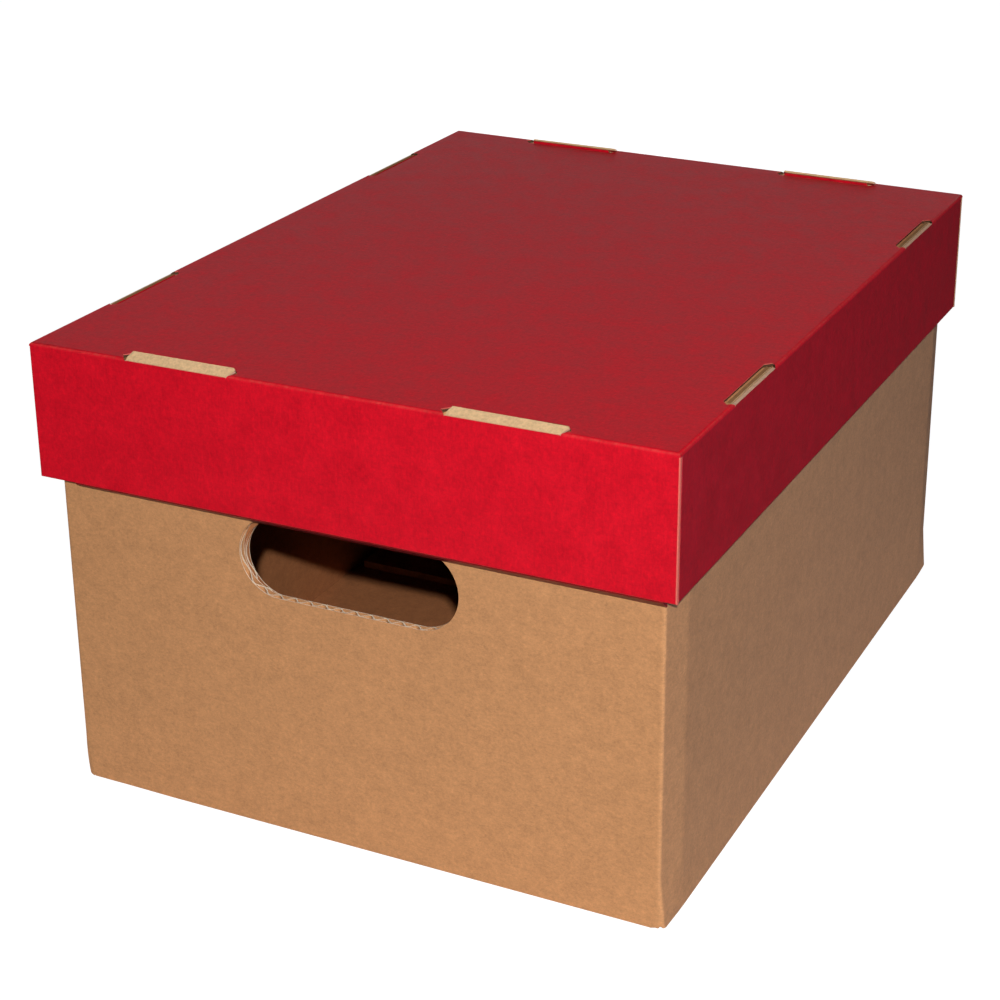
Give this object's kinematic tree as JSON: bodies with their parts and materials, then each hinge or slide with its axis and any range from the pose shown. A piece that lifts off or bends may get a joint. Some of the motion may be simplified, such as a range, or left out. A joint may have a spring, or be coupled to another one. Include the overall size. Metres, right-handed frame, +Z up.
{
  "type": "storage box",
  "caption": "Rectangular corrugated cardboard storage box with oval hand holes and a tab-locked lift-off lid.",
  "frame": {"origin": "on the ground, below the middle of the closed box", "axes": "+Z up and the way the lid lifts, +Y from the front end with its hand hole to the back end, +X to the right"},
  "size_m": [0.32, 0.424, 0.2323],
  "materials": {
    "kraft_board": "matte",
    "printed_board": "satin print"
  },
  "bodies": {
    "box": {"body_front_wall": "kraft_board", "body_front_inner_wall": "kraft_board", "body_front_rim": "kraft_board", "base_front_flap": "kraft_board", "body_back_wall": "kraft_board", "body_back_inner_wall": "kraft_board", "body_back_rim": "kraft_board", "base_back_flap": "kraft_board", "body_left_wall": "kraft_board", "body_left_inner_wall": "kraft_board", "body_left_rim": "kraft_board", "base_left_flap": "kraft_board", "body_right_wall": "kraft_board", "body_right_inner_wall": "kraft_board", "body_right_rim": "kraft_board", "base_right_flap": "kraft_board", "body_glue_flap": "kraft_board"},
    "lid": {"lid_top": "printed_board", "lid_front_wall": "printed_board", "lid_front_inner_wall": "printed_board", "lid_front_hem": "printed_board", "lid_back_wall": "printed_board", "lid_back_inner_wall": "printed_board", "lid_back_hem": "printed_board", "lid_left_wall": "printed_board", "lid_left_inner_wall": "printed_board", "lid_left_hem": "printed_board", "lid_right_wall": "printed_board", "lid_right_inner_wall": "printed_board", "lid_right_hem": "printed_board", "lid_front_left_corner_flap": "printed_board", "lid_front_right_corner_flap": "printed_board", "lid_back_left_corner_flap": "printed_board", "lid_back_right_corner_flap": "printed_board"}
  },
  "joints": [
    {"name": "lid_lift", "type": "slide", "parent": "box", "child": "lid", "axis": [0, 0, 1], "range_m": [0, 0.09]}
  ]
}
